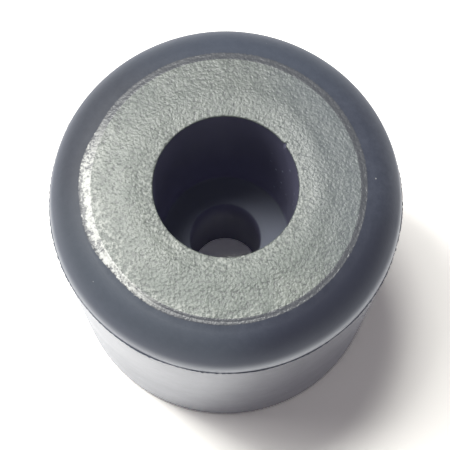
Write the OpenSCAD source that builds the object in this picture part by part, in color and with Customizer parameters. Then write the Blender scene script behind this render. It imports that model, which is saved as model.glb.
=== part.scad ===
// Moulded rubber foot with a deep counterbored screw hole.
// It stands on its mounting face, and the raised textured face that meets the floor is on top.
// Millimetres, +Z up, origin at the centre of the mounting face.

/* [Body] */
// Widest diameter of the body, at the parting line
foot_d = 40; // [36:0.5:60]
// Overall height, from the mounting face to the raised face
foot_h = 40; // [30:1:80]
// Taper of the wall below the parting line, in degrees
wall_draft = 0.5; // [0.2:0.1:3]
// Radius of the rounded shoulder above the parting line
shoulder_r = 5.1; // [3:0.1:8]
// Rounding of the outer edge of the mounting face
base_edge_r = 0.6; // [0.2:0.1:2]

/* [Raised face] */
// Diameter of the flat textured face
face_d = 30; // [26:0.5:32]
// Height of the face above the top of the shoulder
face_step = 0.15; // [0.1:0.05:0.6]
// Width of the bevel that runs down from the face to the shoulder
face_bevel_w = 0.35; // [0.2:0.05:0.6]

/* [Screw seat] */
// Diameter of the counterbore that takes the screw head and its washer
counterbore_d = 16.2; // [12:0.1:20]
// Rounding of the counterbore's mouth
mouth_edge_r = 0.15; // [0.1:0.05:0.8]
// Thickness of the rubber that the screw head bears on
seat_t = 17; // [6:0.5:20]
// Diameter of the screw hole through that rubber
screw_hole_d = 8.8; // [5:0.1:11]

/* [Flash] */
// How far the thin flash stands out at the parting line
flash_w = 0.15; // [0.1:0.05:0.4]
// Thickness of the flash
flash_t = 0.15; // [0.1:0.05:0.4]

/* [Hidden] */
$fn = 180;
rubber_black = [0.10, 0.10, 0.11];
// How far a cut runs past the surface that it opens
cut_past = 1;

foot_r = foot_d / 2;
face_r = face_d / 2;
counterbore_r = counterbore_d / 2;
shoulder_top_z = foot_h - face_step;
parting_z = shoulder_top_z - shoulder_r;
shoulder_centre_r = foot_r - shoulder_r;
base_r = foot_r - parting_z * tan(wall_draft);

// Height of the shoulder's surface at a radius outside its centre
function shoulder_z(r) = parting_z + sqrt(pow(shoulder_r, 2) - pow(max(0, r - shoulder_centre_r), 2));

// Half section of the tapered wall, with its lower outer edge rounded
module wall_section() {
    edge_x = base_r - base_edge_r;
    polygon([
        [0, 0],
        [edge_x, 0],
        [edge_x + base_edge_r * cos(wall_draft), base_edge_r * (1 - sin(wall_draft))],
        [foot_r, parting_z],
        [0, parting_z]
    ]);
    translate([edge_x, base_edge_r]) circle(r = base_edge_r);
}

// Half section of the rounded shoulder above the parting line
module shoulder_section() {
    translate([0, parting_z]) square([shoulder_centre_r, shoulder_r]);
    intersection() {
        translate([shoulder_centre_r, parting_z]) circle(r = shoulder_r);
        translate([0, parting_z]) square([foot_r, shoulder_r]);
    }
}

// Half section of the raised face and the bevel around it
module face_section() {
    bevel_r = face_r + face_bevel_w;
    polygon([
        [0, parting_z],
        [bevel_r, parting_z],
        [bevel_r, shoulder_z(bevel_r)],
        [face_r, foot_h],
        [0, foot_h]
    ]);
}

// Half section of the flash where the two mould halves met
module flash_section() {
    translate([shoulder_centre_r, parting_z - flash_t / 2]) square([shoulder_r + flash_w, flash_t]);
}

// Half section of what rounds the counterbore's mouth
module mouth_rounding_section() {
    difference() {
        translate([counterbore_r - cut_past, foot_h - mouth_edge_r])
            square([cut_past + mouth_edge_r, mouth_edge_r + cut_past]);
        translate([counterbore_r + mouth_edge_r, foot_h - mouth_edge_r]) circle(r = mouth_edge_r);
    }
}

module screw_seat() {
    translate([0, 0, -cut_past]) cylinder(d = screw_hole_d, h = seat_t + 2 * cut_past);
    translate([0, 0, seat_t]) cylinder(d = counterbore_d, h = foot_h - seat_t + cut_past);
    rotate_extrude() mouth_rounding_section();
}

module foot() {
    color(rubber_black)
    difference() {
        rotate_extrude() {
            wall_section();
            shoulder_section();
            face_section();
            flash_section();
        }
        screw_seat();
    }
}

foot();
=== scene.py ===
import math

import bpy
import numpy as np
from mathutils import Matrix, Vector


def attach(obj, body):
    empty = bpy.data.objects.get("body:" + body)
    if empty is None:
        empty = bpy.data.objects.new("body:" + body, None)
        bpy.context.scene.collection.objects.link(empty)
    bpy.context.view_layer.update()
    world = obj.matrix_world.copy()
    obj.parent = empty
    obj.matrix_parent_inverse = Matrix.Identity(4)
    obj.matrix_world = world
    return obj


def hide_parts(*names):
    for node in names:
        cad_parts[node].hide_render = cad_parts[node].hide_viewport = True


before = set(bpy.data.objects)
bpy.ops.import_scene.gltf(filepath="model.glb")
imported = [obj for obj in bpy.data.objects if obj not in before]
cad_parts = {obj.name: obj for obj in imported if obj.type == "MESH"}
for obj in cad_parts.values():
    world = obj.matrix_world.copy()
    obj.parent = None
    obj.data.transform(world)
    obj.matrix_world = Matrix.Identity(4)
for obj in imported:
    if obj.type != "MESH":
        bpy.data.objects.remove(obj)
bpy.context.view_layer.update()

MM = 0.001
AROUND = 720  # points in each ring of the mesh
ANGLES = np.arange(AROUND) * 2 * math.pi / AROUND

# Sizes of the source, in millimetres
FOOT_H = 40.0
FOOT_R = 20.0
WALL_DRAFT = math.radians(0.5)
SHOULDER_R = 5.1
BASE_EDGE_R = 0.6
FACE_R = 15.0
FACE_STEP = 0.15
COUNTERBORE_R = 8.1
MOUTH_EDGE_R = 0.15
SEAT_T = 17.0
SCREW_HOLE_R = 4.4

SHOULDER_TOP_Z = FOOT_H - FACE_STEP
PARTING_Z = SHOULDER_TOP_Z - SHOULDER_R
SHOULDER_C = FOOT_R - SHOULDER_R
BASE_R = FOOT_R - PARTING_Z * math.tan(WALL_DRAFT)

# Fine forms that only this script shows, in millimetres
GRAIN_EDGE_R = 15.74  # where the grain ends, on the shoulder's top
GRAIN_STEP = 0.012    # the grained skin's edge stands this much above the shoulder
GRAIN_SKIN = 0.006    # and the skin inside that edge this much
BEVEL_FOOT_R = 15.34  # where the bevel of the raised face starts
BEVEL_RUN = 0.30      # how far it runs inwards
FACE_EDGE_R = 14.95   # outermost ring of the raised face
CROWN_R = 10.8        # the raised face is highest here
SINK = 0.06           # the shoulder's top lies this much lower beside the face
BORE_DRAFT = 0.13     # the counterbore narrows by this much down to its floor
SEAT_CORNER = 0.3     # size of the rounded corner around the counterbore's floor
HOLE_EDGE = 0.15      # chamfer at both ends of the screw hole
FLASH_REACH = 0.110   # how far the ragged flash stands out, on average
UNEVEN = 0.03         # how uneven the body is

# The mesh's materials, in the order in which they are added
WALL, SHOULDER, FACE, BORE, RIM = range(5)
PART_OF_ZONE = {
    "base": WALL, "wall": WALL, "fin_root": SHOULDER, "fin_tip": SHOULDER, "shoulder": SHOULDER,
    "ledge": RIM, "bevel": RIM, "face": FACE, "mouth": FACE, "bore": BORE,
}


# ---------------------------------------------------------------- shape


def smooth(a, b, x):
    t = np.clip((np.asarray(x, float) - a) / (b - a), 0, 1)
    return t * t * (3 - 2 * t)


def facing(azimuth):
    """The cosine of each ring point's angle from this azimuth, which is in degrees."""
    return np.cos(ANGLES - math.radians(azimuth))


def ring_noise(seed, terms, low, high):
    """A closed random curve around the foot, mostly between -1 and 1, with this range of waves a turn."""
    rng = np.random.RandomState(seed)
    out = np.zeros(AROUND)
    for _ in range(terms):
        n = rng.randint(low, high + 1)
        out += rng.normal() * np.cos(n * ANGLES + rng.uniform(0, 2 * math.pi))
    return out / (math.sqrt(terms / 2) * 2)


def grain_field(seed, pitch, coarse, fine, span=34.0):
    """Band-passed noise on a square grid over the face, with a standard deviation of 1."""
    n = int(span / pitch)
    rng = np.random.RandomState(seed)
    field = np.fft.rfft2(rng.normal(size=(n, n)))
    fx = np.fft.rfftfreq(n, pitch)[None, :]
    fy = np.fft.fftfreq(n, pitch)[:, None]
    f = np.hypot(fx, fy)
    band = np.exp(-(f * fine) ** 2) - np.exp(-(f * coarse) ** 2)
    out = np.fft.irfft2(field * band, s=(n, n))
    return out / out.std()


def read_field(field, pitch, x, y):
    """The field at these points, between its grid points too."""
    n = field.shape[0]
    u = (x / pitch + n / 2) % n
    v = (y / pitch + n / 2) % n
    i, j = np.floor(u).astype(int), np.floor(v).astype(int)
    fu, fv = u - i, v - j
    i1, j1 = (i + 1) % n, (j + 1) % n
    i, j = i % n, j % n
    return (field[j, i] * (1 - fu) * (1 - fv) + field[j, i1] * fu * (1 - fv)
            + field[j1, i] * (1 - fu) * fv + field[j1, i1] * fu * fv)


def shoulder_z(r):
    """Height of the rounded shoulder, which sinks a little beside the raised face."""
    arc = np.sqrt(SHOULDER_R ** 2 - np.maximum(0, r - SHOULDER_C) ** 2)
    return PARTING_Z + arc - SINK * smooth(17.5, 15.6, r)


def crown(r):
    """How far the raised face lies below its highest ring: a rounded ridge with a slope on each side."""
    ridge = 0.02 * np.minimum(1, np.abs(r - CROWN_R) / 1.2) ** 2
    inner = np.maximum(0, CROWN_R - 0.7 - r)
    outer = np.maximum(0, r - CROWN_R - 0.5)
    return ridge + 0.042 * inner + 0.040 * outer


def section():
    """The half section, from the screw hole's lower edge out and over the foot: rows of (r, z, zone)."""
    rows = []

    def add(r, z, zone):
        rows.append((r, z, zone))

    # mounting face
    for r in (SCREW_HOLE_R, SCREW_HOLE_R + HOLE_EDGE, 8.0, 14.0, BASE_R - BASE_EDGE_R):
        add(r, 0.0, "base")
    # base edge
    for k in range(1, 6):
        t = math.pi / 2 * k / 5
        add(BASE_R - BASE_EDGE_R + BASE_EDGE_R * math.sin(t), BASE_EDGE_R * (1 - math.cos(t)), "wall")
    # wall
    for z in np.linspace(BASE_EDGE_R, PARTING_Z - 0.25, 14)[1:]:
        add(BASE_R + (FOOT_R - BASE_R) * z / PARTING_Z, z, "wall")
    # flash
    for lift, zone in ((-0.07, "fin_root"), (-0.05, "fin_tip"), (0.02, "fin_tip"), (0.05, "fin_root")):
        add(FOOT_R, PARTING_Z + lift, zone)
    # shoulder
    for t in np.radians(np.linspace(1.6, 72.0, 21)):
        r = SHOULDER_C + SHOULDER_R * math.cos(t)
        add(r, shoulder_z(r), "shoulder")
    # the grain's edge and the ledge inside it
    r = GRAIN_EDGE_R + 0.03
    add(r, shoulder_z(r), "shoulder")
    r = GRAIN_EDGE_R - 0.03
    add(r, shoulder_z(r) + GRAIN_STEP, "ledge")
    for r in (15.62, 15.5, 15.42):
        add(r, shoulder_z(r) + GRAIN_SKIN, "ledge")
    # bevel
    low = shoulder_z(BEVEL_FOOT_R) + GRAIN_SKIN
    high = FOOT_H - crown(FACE_R)
    for f in (0, 0.3, 0.6, 0.85):
        add(BEVEL_FOOT_R - BEVEL_RUN * f, low + (high - low) * f, "bevel")
    # raised face
    inner = COUNTERBORE_R + MOUTH_EDGE_R
    for r in np.linspace(FACE_EDGE_R, inner, 54):
        add(r, FOOT_H, "face")
    # mouth
    for k in range(1, 5):
        t = math.pi / 2 * k / 4
        add(inner - MOUTH_EDGE_R * math.sin(t), FOOT_H - MOUTH_EDGE_R * (1 - math.cos(t)), "mouth")
    # counterbore
    for f in (0.012, 0.1, 0.2, 0.35, 0.5, 0.65, 0.8, 0.9, 1.0):
        z = FOOT_H - MOUTH_EDGE_R + (SEAT_T + SEAT_CORNER - FOOT_H + MOUTH_EDGE_R) * f
        add(COUNTERBORE_R - BORE_DRAFT * f, z, "bore")
    floor_r = COUNTERBORE_R - BORE_DRAFT
    add(floor_r - 0.3 * SEAT_CORNER, SEAT_T + 0.3 * SEAT_CORNER, "bore")
    for r in (floor_r - SEAT_CORNER, 7.0, 5.5, SCREW_HOLE_R + HOLE_EDGE):
        add(r, SEAT_T, "bore")
    # screw hole
    for z in (SEAT_T - HOLE_EDGE, 11.0, 5.5, HOLE_EDGE):
        add(SCREW_HOLE_R, z, "bore")
    return rows


def shape_flash(R, Z, zone):
    """A thin flash with a ragged edge, a little wavy in height."""
    reach = FLASH_REACH + 0.055 * ring_noise(3, 40, 60, 330) + 0.055 * ring_noise(4, 12, 3, 22)
    R[zone == "fin_tip"] += np.clip(reach, 0.02, 0.19)
    Z[np.isin(zone, ("fin_tip", "fin_root"))] += 0.03 * ring_noise(5, 14, 4, 40)


def shape_face(R, Z, zone):
    """The raised face: crowned very slightly, with the relief of its grain."""
    top = np.isin(zone, ("face", "mouth"))
    Z[top] -= crown(R[top])
    pitch = 0.05
    X, Y = R * np.cos(ANGLES), R * np.sin(ANGLES)
    fine = read_field(grain_field(11, pitch, 0.85, 0.30), pitch, X, Y)
    broad = read_field(grain_field(12, pitch, 9.0, 2.2), pitch, X, Y)
    for name, amount in (("face", 1.0), ("bevel", 0.6), ("ledge", 0.7)):
        rows = zone == name
        Z[rows] += amount * (0.006 * fine[rows] + 0.008 * broad[rows])


def shape_grain_edge(R, Z, zone):
    """The grain ends in a slightly ragged line, further out on the left, with a groove at the front left."""
    ragged = 0.05 * ring_noise(21, 60, 90, 340) + 0.02 * ring_noise(22, 14, 10, 60)
    ragged += 0.52 * smooth(0.83, 0.99, facing(186))
    ragged -= 0.14 * smooth(0.3, 0.9, facing(310))
    ledge = np.where(zone == "ledge")[0]
    for i, share in ((ledge[0] - 1, 1.0), (ledge[0], 1.0), (ledge[1], 0.6), (ledge[2], 0.25)):
        R[i] += share * ragged
        Z[i] += shoulder_z(R[i]) - shoulder_z(R[i] - share * ragged)

    groove = smooth(0.55, 0.95, facing(243))
    Z[ledge] += 0.016 * groove
    Z[np.where(zone == "bevel")[0][:2]] -= 0.012 * groove


def shape_nick(R, zone):
    """A small nick in the edge of the counterbore's mouth."""
    rows = zone == "mouth"
    rows[np.where(zone == "face")[0][-2:]] = True
    R[rows] += 0.24 * np.exp(-((ANGLES - math.radians(36.5)) / math.radians(1.1)) ** 2)


def shape_body(R, Z, zone):
    """The body is a little uneven, as moulded rubber is, but not at its base and its top."""
    rows = np.isin(zone, ("wall", "shoulder", "fin_root", "fin_tip"))
    R[rows] += UNEVEN * ring_noise(7, 8, 2, 7) * smooth(0, 6, Z[rows]) * smooth(39.7, 37.0, Z[rows])


def build_foot():
    rows = section()
    R = np.array([r for r, _, _ in rows])[:, None] + np.zeros(AROUND)
    Z = np.array([z for _, z, _ in rows])[:, None] + np.zeros(AROUND)
    zone = np.array([k for _, _, k in rows])
    shape_flash(R, Z, zone)
    shape_face(R, Z, zone)
    shape_grain_edge(R, Z, zone)
    shape_nick(R, zone)
    shape_body(R, Z, zone)
    points = np.stack([R * np.cos(ANGLES), R * np.sin(ANGLES), Z], -1).reshape(-1, 3) * MM

    # every ring is joined to the next, and the last one to the first
    i = np.arange(len(rows))[:, None]
    j = np.arange(AROUND)[None, :]
    i1 = (i + 1) % len(rows)
    j1 = (j + 1) % AROUND
    quads = np.stack([i * AROUND + j, i * AROUND + j1, i1 * AROUND + j1, i1 * AROUND + j], -1).reshape(-1, 4)
    part = np.array([PART_OF_ZONE[k] for k in zone])
    quad_part = np.repeat(np.maximum(part, np.roll(part, -1)), AROUND)

    mesh = bpy.data.meshes.new("foot_rubber")
    mesh.from_pydata(points.tolist(), [], quads.tolist())
    mesh.polygons.foreach_set("material_index", quad_part.astype(np.int32))
    mesh.polygons.foreach_set("use_smooth", np.ones(len(quads), bool))
    mesh.update()
    ob = bpy.data.objects.new("foot_rubber", mesh)
    bpy.context.scene.collection.objects.link(ob)
    return ob


# ---------------------------------------------------------------- materials


class Tree:
    """A new material, with short calls for building its node tree."""

    def __init__(self, name):
        self.material = bpy.data.materials.new(name)
        self.material.use_nodes = True
        self.nodes = self.material.node_tree.nodes
        self.links = self.material.node_tree.links
        self.nodes.clear()
        self.coord = self.nodes.new("ShaderNodeTexCoord").outputs["Object"]
        split = self.nodes.new("ShaderNodeSeparateXYZ")
        self.links.new(self.coord, split.inputs[0])
        self.x, self.y, self.z = split.outputs

    def link(self, source, socket):
        """Links an output to the socket, or sets the socket to a number or a colour."""
        if hasattr(source, "is_output"):
            self.links.new(source, socket)
        elif isinstance(source, tuple):
            socket.default_value = (*source, 1.0)
        else:
            socket.default_value = source

    def mapped(self, offset=(0, 0, 0), scale=(1, 1, 1)):
        """The object's coordinates, scaled and moved."""
        m = self.nodes.new("ShaderNodeMapping")
        m.inputs["Location"].default_value = offset
        m.inputs["Scale"].default_value = scale
        self.links.new(self.coord, m.inputs["Vector"])
        return m.outputs[0]

    def noise(self, scale, detail, rough, offset=(0, 0, 0)):
        n = self.nodes.new("ShaderNodeTexNoise")
        n.inputs["Scale"].default_value = scale
        n.inputs["Detail"].default_value = detail
        n.inputs["Roughness"].default_value = rough
        self.links.new(self.mapped(offset), n.inputs["Vector"])
        return n.outputs["Fac"]

    def calc(self, operation, a, b):
        m = self.nodes.new("ShaderNodeMath")
        m.operation = operation
        self.link(a, m.inputs[0])
        self.link(b, m.inputs[1])
        return m.outputs[0]

    def plus(self, a, b):
        return self.calc("ADD", a, b)

    def times(self, a, b):
        return self.calc("MULTIPLY", a, b)

    def ramp(self, x, lo, hi, a=0.0, b=1.0, soft=True):
        """From a to b while x goes from lo to hi, and level outside that."""
        m = self.nodes.new("ShaderNodeMapRange")
        m.interpolation_type = "SMOOTHSTEP" if soft else "LINEAR"
        m.clamp = True
        self.link(x, m.inputs["Value"])
        m.inputs["From Min"].default_value = lo
        m.inputs["From Max"].default_value = hi
        m.inputs["To Min"].default_value = a
        m.inputs["To Max"].default_value = b
        return m.outputs["Result"]

    def mix(self, factor, a, b):
        """From colour a to colour b."""
        m = self.nodes.new("ShaderNodeMix")
        m.data_type = "RGBA"
        self.link(factor, m.inputs[0])
        self.link(a, m.inputs[6])
        self.link(b, m.inputs[7])
        return m.outputs[2]

    def bump(self, height, distance, strength):
        b = self.nodes.new("ShaderNodeBump")
        b.inputs["Distance"].default_value = distance
        b.inputs["Strength"].default_value = strength
        self.links.new(height, b.inputs["Height"])
        return b.outputs[0]

    def radius(self):
        """Distance from the foot's axis, in millimetres."""
        v = self.nodes.new("ShaderNodeVectorMath")
        v.operation = "LENGTH"
        self.links.new(self.mapped(scale=(1000, 1000, 0)), v.inputs[0])
        return v.outputs["Value"]

    def along(self, azimuth):
        """Distance from the axis towards this azimuth, in millimetres."""
        a = math.radians(azimuth)
        return self.plus(self.times(self.x, 1000.0 * math.cos(a)), self.times(self.y, 1000.0 * math.sin(a)))

    def height(self):
        """Height above the table, in millimetres."""
        return self.times(self.z, 1000.0)

    def grazing(self, lo, hi):
        """0 where the surface faces the viewer, rising to 1 at a grazing angle, for gloss only."""
        w = self.nodes.new("ShaderNodeLayerWeight")
        return self.ramp(w.outputs["Facing"], lo, hi)

    def specks(self, scale, size, offset):
        """A mask of sparse small dots."""
        v = self.nodes.new("ShaderNodeTexVoronoi")
        v.feature = "F1"
        v.inputs["Scale"].default_value = scale
        self.links.new(self.mapped(offset), v.inputs["Vector"])
        dot = self.ramp(v.outputs["Distance"], size * 0.5, size, 1.0, 0.0)
        pick = self.nodes.new("ShaderNodeSeparateColor")
        self.links.new(v.outputs["Color"], pick.inputs[0])
        return self.times(dot, self.ramp(pick.outputs[0], 0.86, 0.9))

    def grain(self):
        """The fine grain of the raised face, as a height between 0 and 1.7."""
        fine = self.noise(4700, 1.0, 0.5)
        mid = self.noise(2700, 1.0, 0.5, (0.3, 0.1, 0))
        return self.plus(self.times(fine, 0.7), mid)

    def mottle(self, broad, scale, offset):
        """A mask of uneven patches, broad ones with finer ones over them."""
        patches = self.plus(self.times(broad, 0.6), self.times(self.noise(scale, 3.0, 0.7, offset), 0.7))
        return self.ramp(patches, 0.50, 0.80, soft=False)

    def surface(self, **values):
        """Ends the tree in a Principled shader with these values, and returns the material."""
        p = self.nodes.new("ShaderNodeBsdfPrincipled")
        for key, value in values.items():
            self.link(value, p.inputs[key.replace("_", " ")])
        return self.end(p.outputs[0])

    def diffuse(self, colour):
        d = self.nodes.new("ShaderNodeBsdfDiffuse")
        self.link(colour, d.inputs["Color"])
        return d.outputs[0]

    def mix_shaders(self, factor, a, b):
        m = self.nodes.new("ShaderNodeMixShader")
        for source, socket in zip((factor, a, b), m.inputs):
            self.links.new(source, socket)
        return m.outputs[0]

    def end(self, shader):
        out = self.nodes.new("ShaderNodeOutputMaterial")
        self.links.new(shader, out.inputs["Surface"])
        return self.material


def wall_rubber():
    t = Tree("rubber_wall")
    broad = t.noise(90, 4.0, 0.6, (0.2, 0.5, 0.7))
    tone = t.mix(t.mottle(broad, 900, (0.1, 0.8, 0.3)), (0.028, 0.025, 0.040), (0.049, 0.046, 0.067))
    tone = t.mix(t.specks(380, 0.05, (0.6, 0.1, 0.5)), tone, (0.30, 0.30, 0.31))
    rough = t.ramp(broad, 0.3, 0.7, 0.34, 0.42)
    # a gloss at grazing angles, weaker towards the flash
    coat = t.times(t.grazing(0.44, 0.80), t.ramp(t.height(), 1.0, 14.0, 0.80, 0.66))
    coat = t.times(coat, t.ramp(t.height(), 30.5, 34.0, 1.0, 0.78))
    return t.surface(
        Base_Color=tone, Roughness=rough, IOR=1.45, Coat_Weight=coat, Coat_Roughness=0.22, Coat_IOR=1.9,
        Normal=t.bump(t.noise(2200, 3.0, 0.6), 0.00002, 0.7))


def shoulder_rubber():
    t = Tree("rubber_shoulder")
    broad = t.noise(110, 4.0, 0.6, (0.4, 0.9, 0.2))
    tone = t.mix(t.mottle(broad, 1100, (0.5, 0.3, 0.6)), (0.035, 0.042, 0.067), (0.059, 0.068, 0.099))
    # the tone changes around the foot: browner at the back left and paler at the back; paler at the front left
    # as painted light, and dark at the front right as painted shade
    tone = t.mix(t.ramp(t.along(155), 6.0, 17.0, 0.0, 0.55), tone, (0.044, 0.048, 0.058))
    tone = t.mix(t.ramp(t.along(82), 9.0, 17.0, 0.0, 0.50), tone, (0.064, 0.080, 0.112))
    tone = t.mix(t.ramp(t.along(232), 8.0, 18.0, 0.0, 0.50), tone, (0.124, 0.144, 0.172))
    tone = t.mix(t.ramp(t.along(316), 12.0, 17.2, 0.0, 0.88), tone, (0.008, 0.010, 0.026))
    # painted reflection of the bright table: it is paler towards the flash, and it has a gloss at grazing angles
    # there
    tone = t.mix(t.ramp(t.height(), 36.0, 39.0, 0.75, 0.0), tone, (0.146, 0.162, 0.215))
    coat = t.times(t.grazing(0.20, 0.56), t.ramp(t.height(), 35.6, 37.2, 0.85, 0.0))
    tone = t.mix(t.specks(420, 0.05, (0.1, 0.2, 0.3)), tone, (0.34, 0.35, 0.36))
    rough = t.ramp(broad, 0.3, 0.7, 0.50, 0.60)
    return t.surface(
        Base_Color=tone, Roughness=rough, IOR=1.5, Coat_Weight=coat, Coat_Roughness=0.36, Coat_IOR=1.9,
        Normal=t.bump(t.noise(2600, 3.0, 0.6), 0.00002, 0.8))


def grained_rubber():
    t = Tree("rubber_grained")
    height = t.grain()
    broad = t.noise(160, 3.0, 0.55, (0.7, 0.2, 0.1))
    tone = t.mix(t.ramp(broad, 0.36, 0.66), (0.157, 0.184, 0.163), (0.193, 0.218, 0.192))
    # dark pits and pale peaks
    tone = t.mix(t.ramp(height, 0.60, 0.92, 0.75, 0.0), tone, (0.035, 0.040, 0.042))
    tone = t.mix(t.ramp(height, 0.96, 1.18, 0.0, 0.55), tone, (0.313, 0.339, 0.304))
    # painted shade: darker towards the back right, and bluer on the right, the side that gets less light
    tone = t.mix(t.ramp(t.along(240), -15.0, 11.0, 0.46, 0.0), tone, (0.056, 0.066, 0.070))
    tone = t.mix(t.ramp(t.along(15), 4.0, 14.0, 0.0, 0.45), tone, (0.112, 0.132, 0.160))
    # painted highlight: the peaks are paler at the rim on the front left, and around the mouth except at its back
    edge = t.times(t.ramp(t.radius(), 13.4, 14.9), t.ramp(t.along(212), -2.0, 12.0, 0.0, 0.75))
    edge = t.calc("MAXIMUM", edge, t.ramp(t.along(208), 11.6, 14.8))
    mouth = t.times(t.ramp(t.radius(), 8.4, 10.6, 1.0, 0.0), t.ramp(t.along(262), -10.0, 3.0, 0.0, 0.5))
    painted_highlight_mask = t.times(t.calc("MAXIMUM", edge, mouth), t.ramp(height, 0.86, 1.04))
    tone = t.mix(t.times(painted_highlight_mask, 0.7), tone, (0.56, 0.57, 0.54))
    rough = t.ramp(broad, 0.3, 0.7, 0.44, 0.38)
    return t.surface(Base_Color=tone, Roughness=rough, IOR=1.7, Normal=t.bump(height, 0.00005, 1.0))


def bore_rubber():
    t = Tree("rubber_bore")
    broad = t.noise(160, 4.0, 0.6, (0.8, 0.3, 0.4))
    tone = t.mix(t.ramp(broad, 0.35, 0.70), (0.150, 0.150, 0.228), (0.174, 0.173, 0.258))
    # painted light: paler towards the counterbore's floor, and half as much in the screw hole
    painted_light_below = t.ramp(t.height(), 17.5, 30.0, 0.60, 0.0)
    painted_light_below = t.times(painted_light_below, t.ramp(t.height(), 16.9, 17.1, 0.5, 1.0))
    tone = t.mix(painted_light_below, tone, (0.300, 0.290, 0.420))
    # the counterbore's floor is matt
    seat = t.times(t.ramp(t.height(), 17.05, 17.3, 1.0, 0.0), t.ramp(t.height(), 16.7, 16.95))
    tone = t.mix(seat, tone, (0.200, 0.216, 0.268))
    # a little dust on the right of the counterbore's wall
    dust = t.times(t.specks(1500, 0.26, (0.3, 0.7, 0.1)), t.ramp(t.along(10), 5.5, 7.2))
    dust = t.times(dust, t.ramp(t.height(), 20.0, 22.0))
    tone = t.mix(dust, tone, (0.78, 0.82, 0.96))
    tone = t.mix(t.specks(420, 0.06, (0.9, 0.4, 0.8)), tone, (0.28, 0.28, 0.30))
    rough = t.plus(t.ramp(broad, 0.3, 0.7, 0.42, 0.52), t.times(seat, 0.4))
    return t.surface(Base_Color=tone, Roughness=rough, IOR=1.45, Normal=t.bump(t.noise(1900, 3.0, 0.6), 0.00001, 0.4))


def rim_rubber():
    """The grained skin outside the raised face, on the bevel and the shoulder's top."""
    t = Tree("rubber_rim")
    height = t.grain()
    tone = t.mix(t.ramp(height, 0.70, 1.0), (0.033, 0.037, 0.049), (0.050, 0.055, 0.068))
    # painted highlight: pale on the left, less so further out
    patch = t.noise(900, 2.0, 0.6, (0.2, 0.6, 0.3))
    rise = t.calc("SUBTRACT", height, t.ramp(t.radius(), 15.35, 16.4, 0.0, 0.40))
    painted_left_highlight = t.times(t.ramp(t.along(197), 9.9, 14.3), t.ramp(t.plus(patch, rise), 0.98, 1.44))
    tone = t.mix(painted_left_highlight, tone, (0.62, 0.63, 0.60))
    return t.surface(Base_Color=tone, Roughness=0.38, IOR=1.7, Normal=t.bump(height, 0.000035, 1.0))


# ---------------------------------------------------------------- the foot

foot = build_foot()
for make in (wall_rubber, shoulder_rubber, grained_rubber, bore_rubber, rim_rubber):
    foot.data.materials.append(make())
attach(foot, "root")
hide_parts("foot")


# ---------------------------------------------------------------- table, light and camera

TABLE_HALF = 1.5                  # half its width, in metres
TABLE_SEEN = (2.00, 1.96, 1.90)   # brighter than white, because the photograph is overexposed
TABLE_SHINE = (1.70, 1.72, 1.76)  # as the foot's gloss reflects it
TABLE_LIT = (0.82, 0.82, 0.82)    # as it lights the foot
FADE_FROM, FADE_TO = 120, 400     # millimetres from the axis, where the table runs into the white background

WORLD_LIGHT = (1.0, 0.95, 1.0)
WORLD_STRENGTH = 0.13

KEY_COLOUR = (0.995, 1.0, 0.962)
LEFT_COLOUR = (1.0, 1.0, 0.98)
# Name, azimuth and elevation in degrees, distance and size in metres, watts, colour
LAMPS = (
    ("key_wide", 152, 70, 0.60, 0.13, 0.81, KEY_COLOUR),
    ("key_high", 114, 75, 0.60, 0.12, 0.89, KEY_COLOUR),
    ("key_top", 115, 78, 0.60, 0.08, 0.24, KEY_COLOUR),
    ("key_low", 150, 60, 0.60, 0.10, 1.02, KEY_COLOUR),
    ("left_soft", 160, 40, 0.55, 0.33, 0.79, LEFT_COLOUR),
)
LAMP_AIM = Vector((0, 0, 0.035))  # just below the foot's top

# The photograph's camera, from a fit to its circles
CAMERA_ELEVATION = math.radians(73.395)
CAMERA_DISTANCE = 0.16631
CAMERA_PAN = math.radians(0.0221)
CAMERA_TILT = math.radians(-1.5048)
CAMERA_ROLL = math.radians(0.291)
FOCAL_PX = 1507.4
PHOTO_PX = 450
SENSOR_MM = 36.0


def make_floor():
    mesh = bpy.data.meshes.new("table_top")
    s = TABLE_HALF
    mesh.from_pydata([(-s, -s, 0), (s, -s, 0), (s, s, 0), (-s, s, 0)], [], [(0, 1, 2, 3)])
    ob = bpy.data.objects.new("table_top", mesh)
    bpy.context.scene.collection.objects.link(ob)

    t = Tree("white_table")
    path = t.nodes.new("ShaderNodeLightPath").outputs
    near = t.mix_shaders(path["Is Glossy Ray"], t.diffuse(TABLE_LIT), t.diffuse(TABLE_SHINE))
    near = t.mix_shaders(path["Is Camera Ray"], near, t.diffuse(TABLE_SEEN))
    shown = t.calc("MAXIMUM", path["Is Camera Ray"], path["Is Glossy Ray"])
    far = t.times(t.ramp(t.radius(), FADE_FROM, FADE_TO, soft=False), shown)
    white = t.nodes.new("ShaderNodeEmission")
    white.inputs["Strength"].default_value = 1.0
    mesh.materials.append(t.end(t.mix_shaders(far, near, white.outputs[0])))


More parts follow.
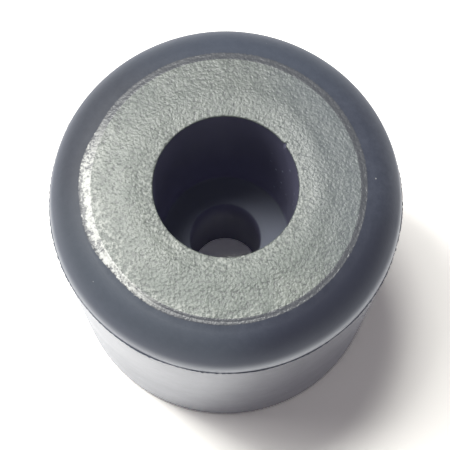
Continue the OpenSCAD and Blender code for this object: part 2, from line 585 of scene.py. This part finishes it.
def make_world():
    """A weak even light, which the camera and reflections see as plain white."""
    world = bpy.data.worlds.new("studio")
    bpy.context.scene.world = world
    world.use_nodes = True
    nodes, links = world.node_tree.nodes, world.node_tree.links
    nodes.clear()
    out = nodes.new("ShaderNodeOutputWorld")
    path = nodes.new("ShaderNodeLightPath")
    light = nodes.new("ShaderNodeBackground")
    light.inputs["Color"].default_value = (*WORLD_LIGHT, 1)
    light.inputs["Strength"].default_value = WORLD_STRENGTH
    white = nodes.new("ShaderNodeBackground")
    white.inputs["Color"].default_value = (1, 1, 1, 1)
    white.inputs["Strength"].default_value = 1.0
    seen = path.outputs["Is Camera Ray"]
    for ray in ("Is Glossy Ray", "Is Transmission Ray"):
        either = nodes.new("ShaderNodeMath")
        either.operation = "MAXIMUM"
        links.new(seen, either.inputs[0])
        links.new(path.outputs[ray], either.inputs[1])
        seen = either.outputs[0]
    mix = nodes.new("ShaderNodeMixShader")
    links.new(seen, mix.inputs[0])
    links.new(light.outputs[0], mix.inputs[1])
    links.new(white.outputs[0], mix.inputs[2])
    links.new(mix.outputs[0], out.inputs["Surface"])


def area_light(name, azimuth, elevation, distance, size, watts, colour):
    """A square soft light that faces the foot, at this azimuth from +X towards +Y."""
    a, e = math.radians(azimuth), math.radians(elevation)
    way = Vector((math.cos(e) * math.cos(a), math.cos(e) * math.sin(a), math.sin(e)))
    light = bpy.data.lights.new(name, "AREA")
    light.shape = "SQUARE"
    light.size = size
    light.energy = watts
    light.color = colour
    ob = bpy.data.objects.new(name, light)
    ob.location = LAMP_AIM + way * distance
    ob.rotation_euler = way.to_track_quat("Z", "Y").to_euler()
    bpy.context.scene.collection.objects.link(ob)


def turned(u, v, angle):
    """Both vectors, turned in their plane by this angle from u towards v."""
    return math.cos(angle) * u + math.sin(angle) * v, math.cos(angle) * v - math.sin(angle) * u


def make_camera():
    right = Vector((1, 0, 0))
    forward = Vector((0, math.cos(CAMERA_ELEVATION), -math.sin(CAMERA_ELEVATION)))
    up = right.cross(forward)
    place = Vector((0, 0, FOOT_H * MM)) - forward * CAMERA_DISTANCE
    right, forward = turned(right, forward, CAMERA_PAN)
    forward, up = turned(forward, up, CAMERA_TILT)
    right, up = turned(right, up, CAMERA_ROLL)
    camera = bpy.data.cameras.new("camera")
    camera.sensor_width = SENSOR_MM
    camera.lens = FOCAL_PX / PHOTO_PX * SENSOR_MM
    camera.clip_start = 0.01
    camera.clip_end = 10
    ob = bpy.data.objects.new("camera", camera)
    m = Matrix((right, up, -forward)).transposed().to_4x4()
    m.translation = place
    ob.matrix_world = m
    bpy.context.scene.collection.objects.link(ob)
    bpy.context.scene.camera = ob


make_floor()
make_world()
for lamp in LAMPS:
    area_light(*lamp)
make_camera()
bpy.context.scene.view_settings.view_transform = "Standard"
